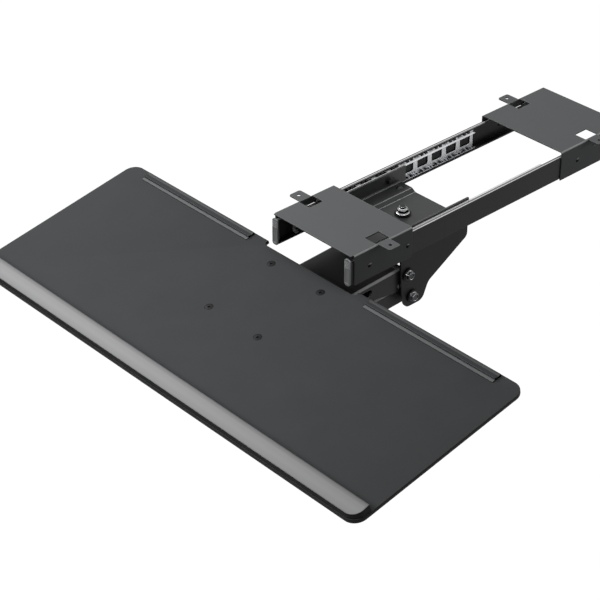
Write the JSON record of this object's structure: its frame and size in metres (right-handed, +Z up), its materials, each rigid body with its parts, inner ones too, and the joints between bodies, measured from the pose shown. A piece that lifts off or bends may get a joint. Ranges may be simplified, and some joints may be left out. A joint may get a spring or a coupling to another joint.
{
  "type": "keyboard tray",
  "caption": "Under-desk keyboard tray with a wide sloping board and palm strip on a lift arm that slides along a ball-bearing track, swivels, lowers and tilts",
  "frame": {"origin": "centre of the four screw ears, on the face that meets the underside of the desk", "axes": "+Z up into the desk, +Y away from the user along the track, +X to the user's right"},
  "size_m": [0.673, 0.7328, 0.1269],
  "materials": {
    "bracket_paint": "matt powder coat, dark grey",
    "rail_paint": "satin black coat",
    "cap_plastic": "fine moulded grey plastic",
    "black_plastic": "moulded black plastic",
    "zinc": "bright zinc plate",
    "bright_steel": "bright turned steel",
    "pan_paint": "satin dark grey coat",
    "arm_paint": "satin black coat",
    "board_laminate": "fine-grained matt charcoal laminate",
    "strip_foam": "pebbled soft grey vinyl",
    "stop_plastic": "matt dark grey plastic",
    "insert_brass": "turned brass"
  },
  "bodies": {
    "track": {"front_bracket": "bracket_paint", "rear_bracket": "bracket_paint", "left_slide": "rail_paint", "right_slide": "rail_paint", "left_end_cap": "cap_plastic", "right_end_cap": "cap_plastic", "left_rear_stop": "black_plastic", "right_rear_stop": "black_plastic", "bracket_rivets": "zinc"},
    "left_cage_body": {"left_cage": "zinc", "left_balls": "bright_steel"},
    "right_cage_body": {"right_cage": "zinc", "right_balls": "bright_steel"},
    "carriage": {"carriage_pan": "pan_paint", "left_runner": "rail_paint", "right_runner": "rail_paint", "carriage_bolts": "zinc", "carriage_nuts": "zinc", "swivel_bolt": "bright_steel", "swivel_nut": "bright_steel", "swivel_washers": "black_plastic", "swivel_disc": "black_plastic"},
    "turret": {"arm_bracket": "arm_paint", "upper_pivot_pin": "bright_steel", "lower_pivot_pin": "bright_steel", "pivot_bushes": "black_plastic", "pivot_nuts": "bright_steel"},
    "arm": {"upper_arm": "arm_paint", "cross_pin": "bright_steel", "lift_spring": "zinc"},
    "link": {"lower_link": "arm_paint"},
    "head": {"head_bracket": "arm_paint", "upper_head_pin": "bright_steel", "lower_head_pin": "bright_steel", "tilt_pin": "bright_steel", "tilt_washers": "black_plastic", "clamp_bolt": "bright_steel"},
    "tray": {"board": "board_laminate", "palm_strip": "strip_foam", "left_mouse_stop": "stop_plastic", "right_mouse_stop": "stop_plastic", "tray_plate": "arm_paint", "tray_screws": "zinc"},
    "knob": {"tilt_knob": "black_plastic", "knob_insert": "insert_brass"}
  },
  "joints": [
    {"name": "track_slide", "type": "slide", "parent": "track", "child": "carriage", "axis": [0, 1, 0], "range_m": [0, 0.25]},
    {"name": "left_cage_roll", "type": "slide", "parent": "track", "child": "left_cage_body", "axis": [0, 1, 0], "range_m": [0, 0.125]},
    {"name": "right_cage_roll", "type": "slide", "parent": "track", "child": "right_cage_body", "axis": [0, 1, 0], "range_m": [0, 0.125]},
    {"name": "swivel", "type": "hinge", "parent": "carriage", "child": "turret", "pos_m": [0, -0.0859, -0.042], "axis": [0, 0, 1], "range_deg": [-60, 60]},
    {"name": "arm_lift", "type": "hinge", "parent": "turret", "child": "arm", "pos_m": [0, -0.1285, -0.077], "axis": [1, 0, 0], "range_deg": [0, 30], "deforming": ["lift_spring"]},
    {"name": "link_lift", "type": "hinge", "parent": "turret", "child": "link", "pos_m": [0, -0.1207, -0.1105], "axis": [1, 0, 0], "range_deg": [0, 30]},
    {"name": "head_level", "type": "hinge", "parent": "arm", "child": "head", "pos_m": [0, -0.26339, -0.08242], "axis": [1, 0, 0], "range_deg": [-30, 0]},
    {"name": "tray_tilt", "type": "hinge", "parent": "head", "child": "tray", "pos_m": [0, -0.30883, -0.07436], "axis": [1, 0, 0], "range_deg": [-15, 0]},
    {"name": "knob_turn", "type": "hinge", "parent": "head", "child": "knob", "pos_m": [0, -0.30462, -0.09799], "axis": [1, 0, 0], "range_deg": [-180, 180]}
  ],
  "couplings": [
    {"joint": "left_cage_roll", "follows": "track_slide", "ratio": 0.5},
    {"joint": "right_cage_roll", "follows": "track_slide", "ratio": 0.5},
    {"joint": "link_lift", "follows": "arm_lift", "ratio": 1},
    {"joint": "head_level", "follows": "arm_lift", "ratio": -1}
  ]
}
